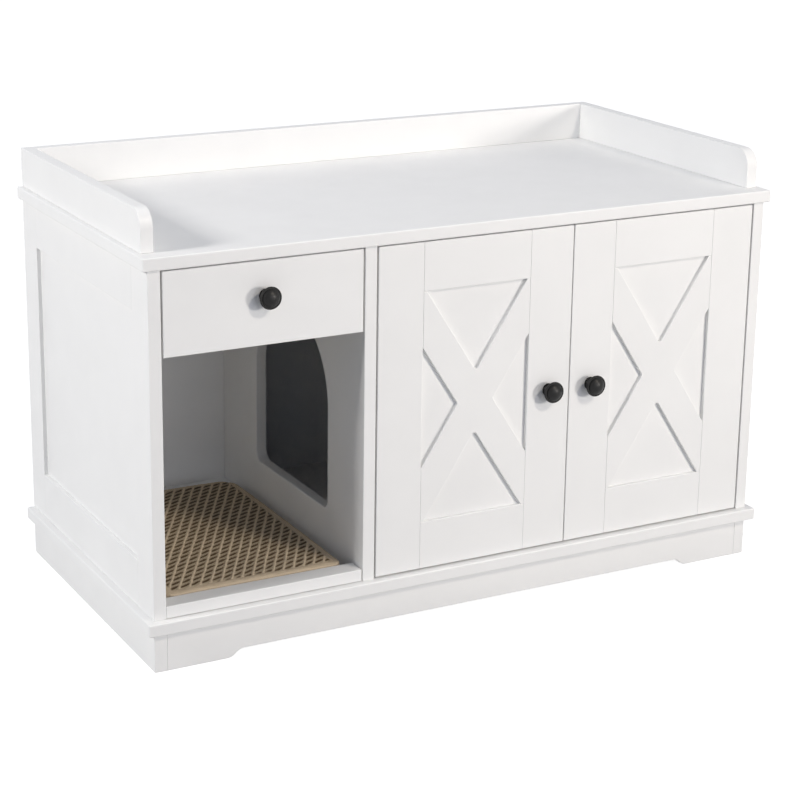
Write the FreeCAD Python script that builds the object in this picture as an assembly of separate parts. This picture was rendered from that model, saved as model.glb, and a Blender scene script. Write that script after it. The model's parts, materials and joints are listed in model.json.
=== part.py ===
import FreeCAD, Part
import math
import os

from FreeCAD import Rotation, Vector

# Litter box enclosure, in millimetres. X runs to the right, Y to the back, Z up.
# The origin is on the floor, in the middle of the whole width and of the depth over the knobs.

# Case: outer sizes
width = 1000.0
depth = 500.0
plinth_height = 57.0
body_height = 481.0
gallery_height = 57.0
base_overhang = 11.0
top_side_overhang = 8.0
top_front_overhang = 5.5

# Boards
board = 18.0
back_thickness = 12.0
board_round = 1.0
slab_round = 2.0

# Frame and panel construction, in the sides and in the doors
panel_recess = 6.0
panel_thickness = 6.0
groove_depth = 9.0
tongue_length = 8.0
side_stile_width = 56.0
side_top_rail_width = 64.0
side_bottom_rail_width = 68.0
door_frame_width = 70.0

# Partition and its arched opening
bay_width = 295.0
arch_front_margin = 112.0
arch_width = 243.0
arch_sill_height = 69.0
arch_straight_height = 152.0
arch_sill_radius = 15.0
arch_round = 2.0

# Plinth
foot_length = 106.0
foot_sweep = 26.0
foot_clearance = 11.0
corner_block_size = 40.0
corner_block_height = 45.0

# Gallery on the top
gallery_setback = 21.0
gallery_corner_radius = 25.0

# Threshold and scratching pad on the floor of the open bay
threshold_depth = 29.5
threshold_end_gap = 1.5
shadow_gap_height = 1.4
shadow_gap_depth = 4.0
pad_length = 384.0
pad_height = 22.0
pad_side_gap = 15.0
pad_front_gap = 3.0
pad_front_radius = 13.0
pad_rear_radius = 32.0
pad_top_round = 3.0
cover_thickness = 4.0

# Doors and drawer front
reveal = 2.5
door_middle_gap = 1.5
brace_angle = 33.0
brace_width = 48.0
brace_corner_radius = 4.0

# Drawer
drawer_front_height = 115.5
drawer_box_length = 400.0
drawer_box_height = 88.0
drawer_box_lift = 14.0
drawer_wall = 12.0
drawer_housing = 6.0
drawer_bottom_thickness = 4.0
drawer_bottom_lift = 10.0
drawer_groove_depth = 6.0
drawer_bottom_tongue = 5.5

# Roller slides
slide_space = 12.5
slide_sheet = 1.2
slide_lift = 59.0
channel_front_gap = 1.5
channel_inner_height = 21.0
channel_flange = 9.6
runner_roller_radius = 10.2
roller_width = 7.0
roller_side_gap = 0.4
roller_gap = 0.3
roller_end_gap = 2.0
roller_round = 0.5
stud_radius = 2.5
stud_head_radius = 4.0
stud_head = 1.0
running_gap = 0.05

# Knobs
knob_radius = 15.2
knob_projection = 24.5
knob_rose_radius = 9.5
knob_rose_height = 1.8
knob_neck_radius = 6.2
knob_neck_end = 9.0
knob_rim_height = 14.5
knob_rim_thickness = 3.2
knob_rim_bulge = 0.4
knob_step_radius = 12.2
knob_step_height = 1.2
knob_rose_edge = 1.0
knob_waist = 0.5
drawer_knob_rise = 10.0
knob_screw_radius = 2.0
knob_screw_depth = 9.0
knob_screw_head_radius = 4.0
knob_screw_head_height = 2.4
knob_screw_head_round = 0.8

# Concealed hinges
hinge_end_distance = 90.0
pin_inset = 16.0
pin_depth = 8.5
pin_radius = 1.5
pin_press_gap = 0.02
knuckle_radius = 2.6
arm_width = 14.0
arm_sheet = 2.0
arm_reach = 14.5
arm_depth = 22.0
foot_plate_length = 24.0
cup_radius = 17.5
cup_centre_inset = 22.5
cup_depth = 13.5
cup_wall = 1.0
cup_bore_gap = 0.1
cup_flange_thickness = 1.0
cup_flange_width = 22.0
cup_flange_length = 62.0
cup_screw_spacing = 48.0
ear_gap = 0.5
ear_thickness = 3.0
ear_half_width = 3.5
plate_thickness = 3.0
plate_height = 50.0
plate_depth = 26.0
plate_screw_spacing = 32.0
plate_round = 0.5

# Screws and dowels
screw_gap = 0.1
case_screw_length = 50.0
threshold_screw_length = 30.0
case_screw_radius = 2.5
case_screw_head_radius = 4.5
case_screw_head_height = 3.0
small_screw_length = 16.0
drawer_screw_length = 10.0
corner_screw_length = 32.0
corner_screw_inset = 20.0
small_screw_radius = 1.7
small_screw_head_radius = 3.4
small_screw_head_height = 2.0
recess_width = 0.9
recess_depth = 1.0
recess_reach = 0.6
dowel_radius = 4.0
dowel_in_upright = 18.0
dowel_in_top = 12.0
fixing_end_distance = 28.0
gallery_screw_inset = 90.0
screw_end_distance = 60.0

# Levels and faces that the sizes above give
floor_z = plinth_height + board
ceiling_z = floor_z + body_height
top_z = ceiling_z + board
body_x = width / 2 - base_overhang
inner_x = body_x - board
back_y = (depth - base_overhang + knob_projection) / 2
base_front_y = back_y - depth
front_y = base_front_y + base_overhang
back_inner_y = back_y - back_thickness
partition_left_x = -inner_x + bay_width
partition_right_x = partition_left_x + board
bay_centre_x = (partition_left_x - inner_x) / 2
doors_centre_x = (partition_right_x + inner_x) / 2
panel_back = panel_recess + panel_thickness

# Two places closer than this are the same one
tolerance = 0.001


# Small tools

def box(x0, x1, y0, y1, z0, z1):
    """Box between two values on each axis."""
    return Part.makeBox(x1 - x0, y1 - y0, z1 - z0, Vector(x0, y0, z0))


def eased(solid, radius):
    """The solid with every edge rubbed round."""
    return solid.makeFillet(radius, solid.Edges)


def eased_board(x0, x1, y0, y1, z0, z1):
    return eased(box(x0, x1, y0, y1, z0, z1), board_round)


def straight_edges(solid, direction):
    """Straight edges of a solid that run along a direction."""
    lines = [edge for edge in solid.Edges if isinstance(edge.Curve, Part.Line)]
    return [edge for edge in lines if abs(edge.Curve.Direction.dot(direction)) > 1 - tolerance]


def mirrored(shape, x):
    """Mirror image of a shape across the upright plane at x."""
    return shape.mirror(Vector(x, 0, 0), Vector(1, 0, 0))


def placed(shape, point, direction):
    """A shape made along +Z at the origin, moved to a point and turned to a direction."""
    copy = shape.copy()
    copy.Placement = FreeCAD.Placement(point, Rotation(Vector(0, 0, 1), direction))
    return copy


def outline(start, steps):
    """Closed face from a start point and steps: a point for a line, two points for an arc."""
    edges = []
    here = start
    for step in steps:
        if isinstance(step, tuple):
            middle, end = step
            edges.append(Part.Arc(here, middle, end).toShape())
        else:
            end = step
            edges.append(Part.LineSegment(here, end).toShape())
        here = end
    return Part.Face(Part.Wire(edges))


def save(name, shapes):
    """Write one node, from one solid or from a group of separate solids."""
    shape = shapes if not isinstance(shapes, list) else Part.makeCompound(shapes)
    shape.exportStep(os.path.join("parts", name + ".step"))


def screw_body(length, radius, head_radius, head_height, grow):
    """Countersunk screw's outline, head's top at the origin, tip down. grow widens it to a hole."""
    head = Part.makeCone(radius + grow, head_radius + grow, head_height, Vector(0, 0, -head_height))
    shank = Part.makeCylinder(radius + grow, length - head_height, Vector(0, 0, -length))
    return head.fuse(shank).removeSplitter()


def cross_recess(reach):
    """Cross slot in a screw's head whose top is at the origin."""
    half = recess_width / 2
    first = box(-reach, reach, -half, half, -recess_depth, 1)
    second = box(-half, half, -reach, reach, -recess_depth, 1)
    return first.fuse(second)


def case_screw(length):
    body = screw_body(length, case_screw_radius, case_screw_head_radius, case_screw_head_height, 0)
    return body.cut(cross_recess(recess_reach * case_screw_head_radius))


def case_screw_hole(length):
    return screw_body(length, case_screw_radius, case_screw_head_radius,
                      case_screw_head_height, screw_gap)


def small_screw(length):
    body = screw_body(length, small_screw_radius, small_screw_head_radius, small_screw_head_height, 0)
    return body.cut(cross_recess(recess_reach * small_screw_head_radius))


def small_screw_hole(length):
    return screw_body(length, small_screw_radius, small_screw_head_radius,
                      small_screw_head_height, screw_gap)


def all_placed(shape, points, direction):
    """A copy of a shape at each point, all turned to one direction."""
    return [placed(shape, point, direction) for point in points]


# Fixing points

up = Vector(0, 0, 1)
down = Vector(0, 0, -1)
forward = Vector(0, -1, 0)
backward = Vector(0, 1, 0)
leftward = Vector(-1, 0, 0)
rightward = Vector(1, 0, 0)

upright_x = body_x - board / 2
partition_x = (partition_left_x + partition_right_x) / 2
upright_ys = [front_y + fixing_end_distance, (front_y + back_y) / 2, back_y - fixing_end_distance]
partition_ys = [front_y + fixing_end_distance + board, back_inner_y - fixing_end_distance - board]
upright_points = [(x, y) for x in (-upright_x, upright_x) for y in upright_ys]
upright_points += [(partition_x, y) for y in partition_ys]

gallery_front_y = front_y + gallery_setback
gallery_side_ys = [gallery_front_y + gallery_screw_inset, back_y - gallery_screw_inset]
gallery_points = [(x, y) for x in (-upright_x, upright_x) for y in gallery_side_ys]
gallery_back_y = back_y - board / 2
gallery_points += [(x, gallery_back_y) for x in (-inner_x / 2, 0.0, inner_x / 2)]

threshold_centre_y = front_y + threshold_depth / 2
threshold_points = [(-inner_x + screw_end_distance, threshold_centre_y),
                    (partition_left_x - screw_end_distance, threshold_centre_y)]

# Long screws hold the uprights and the gallery, shorter ones the threshold
base_screw_points = [Vector(x, y, plinth_height) for x, y in upright_points]
threshold_screw_points = [Vector(x, y, plinth_height) for x, y in threshold_points]
gallery_screw_points = [Vector(x, y, ceiling_z) for x, y in gallery_points]
back_screw_zs = [floor_z + screw_end_distance, (floor_z + ceiling_z) / 2, ceiling_z - screw_end_distance]
back_screw_points = [Vector(partition_x, back_y, z) for z in back_screw_zs]

case_screws = all_placed(case_screw(case_screw_length), base_screw_points + gallery_screw_points, down)
case_screws += all_placed(case_screw(case_screw_length), back_screw_points, backward)
case_screws += all_placed(case_screw(threshold_screw_length), threshold_screw_points, down)
case_holes = all_placed(case_screw_hole(case_screw_length), base_screw_points + gallery_screw_points, down)
case_holes += all_placed(case_screw_hole(case_screw_length), back_screw_points, backward)
case_holes += all_placed(case_screw_hole(threshold_screw_length), threshold_screw_points, down)

dowel_length = dowel_in_upright + dowel_in_top
dowel_points = [Vector(x, y, ceiling_z - dowel_in_upright) for x, y in upright_points]
case_dowels = [Part.makeCylinder(dowel_radius, dowel_length, point) for point in dowel_points]
case_holes += [Part.makeCylinder(dowel_radius + screw_gap, dowel_length, point) for point in dowel_points]


def bored(shape, holes):
    """A board with those holes cut in it that reach it."""
    reaching = [hole for hole in holes if shape.BoundBox.intersect(hole.BoundBox)]
    return shape.cut(reaching) if reaching else shape


# Sides, made on the left and mirrored

def side_parts():
    """The five boards of the left side: its outer face at -body_x, its inner one at -inner_x."""
    outer = -body_x
    inner = -inner_x
    groove_0 = outer + panel_recess
    groove_1 = outer + panel_back
    stile_y = front_y + side_stile_width
    rear_stile_y = back_y - side_stile_width
    rail_z = ceiling_z - side_top_rail_width
    bottom_rail_z = floor_z + side_bottom_rail_width

    front_stile = eased_board(outer, inner, front_y, stile_y, floor_z, ceiling_z)
    front_stile = front_stile.cut(
        box(groove_0, groove_1, stile_y - groove_depth, stile_y, floor_z, ceiling_z))
    rear_stile = eased_board(outer, inner, rear_stile_y, back_y, floor_z, ceiling_z)
    rear_stile = rear_stile.cut(
        box(groove_0, groove_1, rear_stile_y, rear_stile_y + groove_depth, floor_z, ceiling_z))

    tongue_y0 = stile_y - tongue_length
    tongue_y1 = rear_stile_y + tongue_length
    top_rail = eased_board(outer, inner, stile_y, rear_stile_y, rail_z, ceiling_z)
    top_rail = top_rail.fuse(box(groove_0, groove_1, tongue_y0, tongue_y1, rail_z, ceiling_z))
    top_rail = top_rail.cut(box(groove_0, groove_1, tongue_y0, tongue_y1, rail_z, rail_z + groove_depth))
    bottom_rail = eased_board(outer, inner, stile_y, rear_stile_y, floor_z, bottom_rail_z)
    bottom_rail = bottom_rail.fuse(box(groove_0, groove_1, tongue_y0, tongue_y1, floor_z, bottom_rail_z))
    bottom_rail = bottom_rail.cut(
        box(groove_0, groove_1, tongue_y0, tongue_y1, bottom_rail_z - groove_depth, bottom_rail_z))
    panel = box(groove_0, groove_1, tongue_y0, tongue_y1,
                bottom_rail_z - tongue_length, rail_z + tongue_length)
    return {
        "front_stile": front_stile,
        "rear_stile": rear_stile,
        "top_rail": top_rail,
        "bottom_rail": bottom_rail,
        "side_panel": panel,
    }


# Partition

def arch_solid():
    """What the arched opening takes out of the partition, through both faces."""
    x = partition_left_x - board
    y0 = front_y + arch_front_margin
    y1 = y0 + arch_width
    middle_y = (y0 + y1) / 2
    radius = arch_width / 2
    sill_z = floor_z + arch_sill_height
    spring_z = sill_z + arch_straight_height
    corner = arch_sill_radius
    bulge = corner * (1 - math.sqrt(0.5))
    face = outline(Vector(x, y0 + corner, sill_z), [
        Vector(x, y1 - corner, sill_z),
        (Vector(x, y1 - bulge, sill_z + bulge), Vector(x, y1, sill_z + corner)),
        Vector(x, y1, spring_z),
        (Vector(x, middle_y, spring_z + radius), Vector(x, y0, spring_z)),
        Vector(x, y0, sill_z + corner),
        (Vector(x, y0 + bulge, sill_z + bulge), Vector(x, y0 + corner, sill_z)),
    ])
    return face.extrude(Vector(3 * board, 0, 0))


def partition_board():
    plain = box(partition_left_x, partition_right_x, front_y, back_inner_y, floor_z, ceiling_z)
    plain = eased(plain, board_round)
    cut = plain.cut(arch_solid())
    rims = []
    for edge in cut.Edges:
        middle = edge.BoundBox.Center
        inside_y = front_y + board < edge.BoundBox.YMin and edge.BoundBox.YMax < back_inner_y - board
        inside_z = floor_z + board < edge.BoundBox.ZMin and edge.BoundBox.ZMax < ceiling_z - board
        on_face = min(abs(middle.x - partition_left_x), abs(middle.x - partition_right_x)) < tolerance
        flat = edge.BoundBox.XLength < tolerance
        if inside_y and inside_z and on_face and flat:
            rims.append(edge)
    return cut.makeFillet(arch_round, rims)


# Threshold

def threshold_board():
    """Bar across the foot of the open bay, with a low rebate under its front that reads as a dark line."""
    x1 = partition_left_x - threshold_end_gap
    bar = eased_board(-inner_x, x1, front_y, front_y + threshold_depth, floor_z, floor_z + board)
    rebate = box(-inner_x, x1, front_y, front_y + shadow_gap_depth, floor_z, floor_z + shadow_gap_height)
    return bar.cut(rebate)


# Plinth

def front_skirt_board():
    """Board between the side skirts, its lower edge lifted between two swept feet."""
    end_x = inner_x
    foot_x = body_x - foot_length
    lifted_x = foot_x - foot_sweep
    middle_x = foot_x - foot_sweep / 2
    half_rise = foot_clearance / 2
    sweep_radius = (foot_sweep * foot_sweep / 4 + half_rise * half_rise) / (2 * half_rise)
    half_turn = math.asin(foot_sweep / 2 / sweep_radius) / 2
    dx = sweep_radius * math.sin(half_turn)
    dz = sweep_radius * (1 - math.cos(half_turn))
    y = front_y + board
    face = outline(Vector(-end_x, y, 0), [
        Vector(-foot_x, y, 0),
        (Vector(-foot_x + dx, y, dz), Vector(-middle_x, y, half_rise)),
        (Vector(-lifted_x - dx, y, foot_clearance - dz), Vector(-lifted_x, y, foot_clearance)),
        Vector(lifted_x, y, foot_clearance),
        (Vector(lifted_x + dx, y, foot_clearance - dz), Vector(middle_x, y, half_rise)),
        (Vector(foot_x - dx, y, dz), Vector(foot_x, y, 0)),
        Vector(end_x, y, 0),
        Vector(end_x, y, plinth_height),
        Vector(-end_x, y, plinth_height),
        Vector(-end_x, y, 0),
    ])
    plain = face.extrude(Vector(0, -board, 0))
    front_edges = [edge for edge in plain.Edges
                   if edge.BoundBox.YMax < front_y + tolerance and edge.BoundBox.ZMax > board_round]
    return plain.makeFillet(board_round, front_edges)


def corner_block(x_sign, y_sign):
    """Square block glued in a corner of the plinth, under the base board."""
    x = x_sign * (inner_x - corner_block_size / 2)
    outer_y = front_y + board if y_sign < 0 else back_y - board
    y = outer_y - y_sign * corner_block_size / 2
    half = corner_block_size / 2
    return eased_board(x - half, x + half, y - half, y + half,
                       plinth_height - corner_block_height, plinth_height)


# Scratching pad

def pad_outline(inset, z0, z1):
    """Pad's plan drawn in by an inset, between two levels, with its corners rounded."""
    x0 = -inner_x + pad_side_gap + inset
    x1 = partition_left_x - pad_side_gap - inset
    y0 = front_y + threshold_depth + pad_front_gap + inset
    y1 = y0 + pad_length - 2 * inset
    middle_y = (y0 + y1) / 2
    solid = box(x0, x1, y0, y1, z0, z1)
    front_edges = [edge for edge in straight_edges(solid, up) if edge.BoundBox.YMax < middle_y]
    solid = solid.makeFillet(pad_front_radius - inset, front_edges)
    rear_edges = [edge for edge in straight_edges(solid, up) if edge.BoundBox.YMin > middle_y]
    return solid.makeFillet(pad_rear_radius - inset, rear_edges)


def pad_cover():
    """Woven cover over the top and down the sides of the pad's board."""
    solid = pad_outline(0.0, floor_z, floor_z + pad_height)
    top = [edge for edge in solid.Edges if edge.BoundBox.ZMin > floor_z + pad_height - tolerance]
    solid = solid.makeFillet(pad_top_round, top)
    return solid.cut(pad_board())


def pad_board():
    return pad_outline(cover_thickness, floor_z, floor_z + pad_height - cover_thickness)


# Knob

def knob():
    """Turned knob along -Y: a small rose, a waisted neck and a stepped, domed head.

    Its back is at the origin.
    """
    def point(radius, out):
        return Vector(radius, -out, 0)

    rim_top = knob_rim_height + knob_rim_thickness
    step_top = rim_top + knob_step_height
    neck_middle = (knob_rose_height + knob_neck_end) / 2
    bend = math.sqrt(0.5)
    head_rise = knob_rim_height - knob_neck_end
    head_spread = knob_radius - knob_neck_radius
    dome_rise = knob_projection - step_top
    dome_radius = (knob_step_radius * knob_step_radius + dome_rise * dome_rise) / (2 * dome_rise)
    half_turn = math.asin(knob_step_radius / dome_radius) / 2
    dome_centre = knob_projection - dome_radius
    dome_middle = point(dome_radius * math.sin(half_turn), dome_centre + dome_radius * math.cos(half_turn))
    face = outline(point(0, 0), [
        point(knob_rose_radius, 0),
        point(knob_rose_radius, knob_rose_height),
        point(knob_rose_radius - knob_rose_edge, knob_rose_height),
        (point(knob_neck_radius + knob_waist, neck_middle), point(knob_neck_radius, knob_neck_end)),
        (point(knob_neck_radius + head_spread * (1 - bend), knob_neck_end + head_rise * bend),
         point(knob_radius, knob_rim_height)),
        (point(knob_radius + knob_rim_bulge, knob_rim_height + knob_rim_thickness / 2),
         point(knob_radius, rim_top)),
        point(knob_step_radius, rim_top),
        point(knob_step_radius, step_top),
        (dome_middle, point(0, knob_projection)),
        point(0, 0),
    ])
    bore = Part.makeCylinder(knob_screw_radius + screw_gap, knob_screw_depth, Vector(0, 0, 0), forward)
    return face.revolve(Vector(0, 0, 0), Vector(0, 1, 0), 360).cut(bore)


def knob_at(x, z):
    solid = knob()
    solid.translate(Vector(x, front_y, z))
    return solid


def knob_screw_at(x, z):
    """Pan-headed screw from inside, through the front board into the knob."""
    start = Vector(x, front_y + board, z)
    shank = Part.makeCylinder(knob_screw_radius, board + knob_screw_depth, start, forward)
    head = Part.makeCylinder(knob_screw_head_radius, knob_screw_head_height, start, backward)
    rim = [edge for edge in head.Edges if edge.BoundBox.YMin > start.y + knob_screw_head_round]
    return shank.fuse(head.makeFillet(knob_screw_head_round, rim))


def knob_hole_at(x, z):
    return Part.makeCylinder(knob_screw_radius + screw_gap, board, Vector(x, front_y, z), backward)


# Hinges, made for a door that hangs on its left edge, with the pin's axis on Z at the origin.
# X runs towards the door's free edge and Y into the cabinet.

door_edge = -pin_inset
door_back = board - pin_depth
case_face = door_edge - reveal
plate_face = case_face + plate_thickness
cup_x = cup_centre_inset - pin_inset
cup_floor = door_back - cup_depth
pin_half = arm_width / 2 + ear_gap + ear_thickness


def hinge_cup():
    """Cup with a flange and two ears that carry the pin."""
    outer = Part.makeCylinder(cup_radius, cup_depth, Vector(cup_x, cup_floor, 0), backward)
    flange = box(cup_x - cup_flange_width / 2, cup_x + cup_flange_width / 2,
                 door_back, door_back + cup_flange_thickness,
                 -cup_flange_length / 2, cup_flange_length / 2)
    flange = flange.makeFillet(cup_flange_width / 3, straight_edges(flange, backward))
    rim = Part.makeCylinder(cup_radius + cup_wall, cup_flange_thickness,
                            Vector(cup_x, door_back, 0), backward)
    hollow = Part.makeCylinder(cup_radius - cup_wall, cup_depth + cup_flange_thickness,
                               Vector(cup_x, cup_floor + cup_wall, 0), backward)
    body = outer.fuse([flange, rim]).cut(hollow)
    for side in (-1, 1):
        z0 = side * (pin_half - ear_thickness / 2) - ear_thickness / 2
        ear = box(-ear_half_width, ear_half_width, cup_floor + cup_wall / 2, 0, z0, z0 + ear_thickness)
        tip = Part.makeCylinder(ear_half_width, ear_thickness, Vector(0, 0, z0))
        body = body.fuse([ear, tip])
    bore = Part.makeCylinder(pin_radius + running_gap, 2 * pin_half, Vector(0, 0, -pin_half))
    return body.cut(bore).removeSplitter()


def hinge_pin():
    return Part.makeCylinder(pin_radius, 2 * pin_half, Vector(0, 0, -pin_half))


def hinge_arm():
    """Cranked arm: round the pin, out of the cup, across the door's edge and onto the plate."""
    half = arm_width / 2
    foot_front = arm_depth - arm_sheet
    knuckle = Part.makeCylinder(knuckle_radius, arm_width, Vector(0, 0, -half))
    reach = box(0, arm_reach, -arm_sheet / 2, arm_sheet / 2, -half, half)
    rise = box(arm_reach - arm_sheet, arm_reach, -arm_sheet / 2, arm_depth, -half, half)
    cross = box(plate_face, arm_reach, foot_front, arm_depth, -half, half)
    foot = box(plate_face, plate_face + arm_sheet, foot_front, foot_front + foot_plate_length, -half, half)
    arm = knuckle.fuse([reach, rise, cross, foot]).removeSplitter()
    bore = Part.makeCylinder(pin_radius + pin_press_gap, arm_width, Vector(0, 0, -half))
    return arm.cut(bore)


def hinge_plate():
    y0 = arm_depth - arm_sheet
    plate = box(case_face, plate_face, y0, y0 + plate_depth, -plate_height / 2, plate_height / 2)
    return eased(plate, plate_round)


plate_centre_y = arm_depth - arm_sheet + plate_depth / 2
plate_screw_points = [Vector(plate_face, plate_centre_y, side * plate_screw_spacing / 2)
                      for side in (-1, 1)]
arm_screw_point = Vector(plate_face + arm_sheet, plate_centre_y, 0)
cup_screw_points = [Vector(cup_x, door_back + cup_flange_thickness, side * cup_screw_spacing / 2)
                    for side in (-1, 1)]


# Doors, made on the left and mirrored about the middle of their opening

door_bottom_z = floor_z + reveal
door_top_z = ceiling_z - reveal
door_left_x = partition_right_x + reveal
door_right_x = doors_centre_x - door_middle_gap / 2
hinge_zs = [door_bottom_z + hinge_end_distance, door_top_z - hinge_end_distance]
hinge_points = [Vector(door_left_x + pin_inset, front_y + pin_depth, z) for z in hinge_zs]
door_knob_x = door_right_x - door_frame_width / 2
door_knob_z = (door_bottom_z + door_top_z) / 2


def at_hinges(make):
    """One copy of a hinge piece at each hinge of the left door."""
    copies = []
    for point in hinge_points:
        shape = make()
        shape.translate(point)
        copies.append(shape)
    return copies


def brace():
    """Two crossed bars, clipped to the door's opening, with their inner corners routed round."""
    x0 = door_left_x + door_frame_width
    x1 = door_right_x - door_frame_width
    z0 = door_bottom_z + door_frame_width
    z1 = door_top_z - door_frame_width
    centre = Vector((x0 + x1) / 2, 0, (z0 + z1) / 2)
    reach = math.hypot(x1 - x0, z1 - z0)
    half = brace_width / 2
    bars = []
    for turn in (-brace_angle, brace_angle):
        bar = box(-half, half, front_y, front_y + panel_recess, -reach, reach)
        bar.rotate(Vector(0, 0, 0), Vector(0, 1, 0), turn)
        bar.translate(centre)
        bars.append(bar)
    opening = box(x0, x1, front_y, front_y + panel_recess, z0, z1)
    cross = bars[0].fuse(bars[1]).removeSplitter().common(opening)
    crossing_edges = []
    for edge in straight_edges(cross, backward):
        middle = edge.BoundBox.Center
        if min(abs(middle.x - centre.x), abs(middle.z - centre.z)) < tolerance:
            crossing_edges.append(edge)
    cross = cross.makeFillet(brace_corner_radius, crossing_edges)
    front_edges = [edge for edge in cross.Edges if edge.BoundBox.YMax < front_y + tolerance]
    return cross.makeFillet(board_round, front_edges)


def door_parts():
    x0 = door_left_x
    x1 = door_right_x
    z0 = door_bottom_z
    z1 = door_top_z
    y0 = front_y
    y1 = front_y + board
    left_in = x0 + door_frame_width
    right_in = x1 - door_frame_width
    bottom_in = z0 + door_frame_width
    top_in = z1 - door_frame_width
    groove_0 = y0 + panel_recess
    groove_1 = y0 + panel_back

    cup_bore = Part.makeCylinder(cup_radius + cup_bore_gap, cup_depth, Vector(cup_x, cup_floor, 0),
                                 backward)
    cup_holes = []
    for hole in all_placed(small_screw_hole(small_screw_length), cup_screw_points, backward):
        cup_holes += at_hinges(hole.copy)
    hinge_stile = eased_board(x0, left_in, y0, y1, z0, z1)
    hinge_stile = hinge_stile.cut(box(left_in - groove_depth, left_in, groove_0, groove_1, z0, z1))
    hinge_stile = hinge_stile.cut(at_hinges(cup_bore.copy) + cup_holes)

    latch_stile = eased_board(right_in, x1, y0, y1, z0, z1)
    latch_stile = latch_stile.cut(box(right_in, right_in + groove_depth, groove_0, groove_1, z0, z1))
    latch_stile = latch_stile.cut(knob_hole_at(door_knob_x, door_knob_z))

    tongue_x0 = left_in - tongue_length
    tongue_x1 = right_in + tongue_length
    top_rail = eased_board(left_in, right_in, y0, y1, top_in, z1)
    top_rail = top_rail.fuse(box(tongue_x0, tongue_x1, groove_0, groove_1, top_in, z1))
    top_rail = top_rail.cut(box(tongue_x0, tongue_x1, groove_0, groove_1, top_in, top_in + groove_depth))
    bottom_rail = eased_board(left_in, right_in, y0, y1, z0, bottom_in)
    bottom_rail = bottom_rail.fuse(box(tongue_x0, tongue_x1, groove_0, groove_1, z0, bottom_in))
    bottom_rail = bottom_rail.cut(
        box(tongue_x0, tongue_x1, groove_0, groove_1, bottom_in - groove_depth, bottom_in))

    web = box(tongue_x0, tongue_x1, groove_0, groove_1, bottom_in - tongue_length, top_in + tongue_length)
    panel = web.fuse(brace())

    screws = [knob_screw_at(door_knob_x, door_knob_z)]
    for screw in all_placed(small_screw(small_screw_length), cup_screw_points, backward):
        screws += at_hinges(screw.copy)
    return {
        "hinge_stile": [hinge_stile],
        "latch_stile": [latch_stile],
        "top_rail": [top_rail],
        "bottom_rail": [bottom_rail],
        "panel": [panel],
        "knob": [knob_at(door_knob_x, door_knob_z)],
        "hinge_cups": [cup.cut(cup_holes) for cup in at_hinges(hinge_cup)],
        "screws": screws,
    }


def hinge_hardware():
    """Arms, pins, plates and their screws on the partition, and the holes they need there."""
    points = plate_screw_points + [arm_screw_point]
    holes = []
    for hole in all_placed(small_screw_hole(small_screw_length), points, rightward):
        holes += at_hinges(hole.copy)
    screws = []
    for screw in all_placed(small_screw(small_screw_length), points, rightward):
        screws += at_hinges(screw.copy)
    arms = [arm.cut(holes) for arm in at_hinges(hinge_arm)]
    plates = [plate.cut(holes) for plate in at_hinges(hinge_plate)]
    return arms, at_hinges(hinge_pin), plates, screws, holes


# Drawer and its slides, made on the left of the bay and mirrored about its middle

drawer_left_x = -inner_x + reveal
drawer_right_x = partition_left_x - reveal
drawer_front_z1 = ceiling_z - reveal
drawer_front_z0 = drawer_front_z1 - drawer_front_height
drawer_y0 = front_y + board
drawer_y1 = drawer_y0 + drawer_box_length
box_left_x = -inner_x + slide_space
box_right_x = partition_left_x - slide_space
box_z0 = drawer_front_z0 + drawer_box_lift
box_z1 = box_z0 + drawer_box_height
bottom_z0 = box_z0 + drawer_bottom_lift
bottom_z1 = bottom_z0 + drawer_bottom_thickness
drawer_knob_z = (drawer_front_z0 + drawer_front_z1) / 2 + drawer_knob_rise

slide_z0 = drawer_front_z0 + slide_lift
channel_z0 = slide_z0 + slide_sheet
channel_z1 = channel_z0 + channel_inner_height
channel_y0 = drawer_y0 + channel_front_gap
channel_y1 = drawer_y1 + channel_front_gap
channel_roller_radius = runner_roller_radius - slide_sheet / 2 - roller_gap
channel_roller_y = channel_y0 + channel_roller_radius + roller_end_gap
channel_roller_z = channel_z0 + roller_gap + channel_roller_radius
runner_flange_z0 = channel_roller_z + channel_roller_radius + roller_gap
runner_flange_z1 = runner_flange_z0 + slide_sheet
runner_roller_y = drawer_y1 - runner_roller_radius - roller_end_gap
runner_roller_z = channel_z0 + roller_gap + runner_roller_radius
runner_flange_y1 = runner_roller_y - runner_roller_radius - roller_end_gap
runner_web_x = box_left_x - slide_sheet
channel_web_x = -inner_x + slide_sheet
slide_screw_ys = [channel_y0 + screw_end_distance, (channel_y0 + channel_y1) / 2,
                  channel_y1 - screw_end_distance]
stud_length = roller_width + 2 * roller_side_gap
slide_screw_z = (channel_z0 + channel_z1) / 2


def slide_channel():
    """C channel on the cabinet, open towards the drawer, with a stud for its front roller."""
    flange_x = -inner_x + channel_flange
    solid = box(-inner_x, flange_x, channel_y0, channel_y1, slide_z0, channel_z1 + slide_sheet)
    solid = solid.cut(box(channel_web_x, flange_x, channel_y0, channel_y1, channel_z0, channel_z1))
    start = Vector(channel_web_x, channel_roller_y, channel_roller_z)
    stud = Part.makeCylinder(stud_radius, stud_length, start, rightward)
    head = Part.makeCylinder(stud_head_radius, stud_head, start + Vector(stud_length, 0, 0), rightward)
    return solid.fuse([stud, head])


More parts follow.
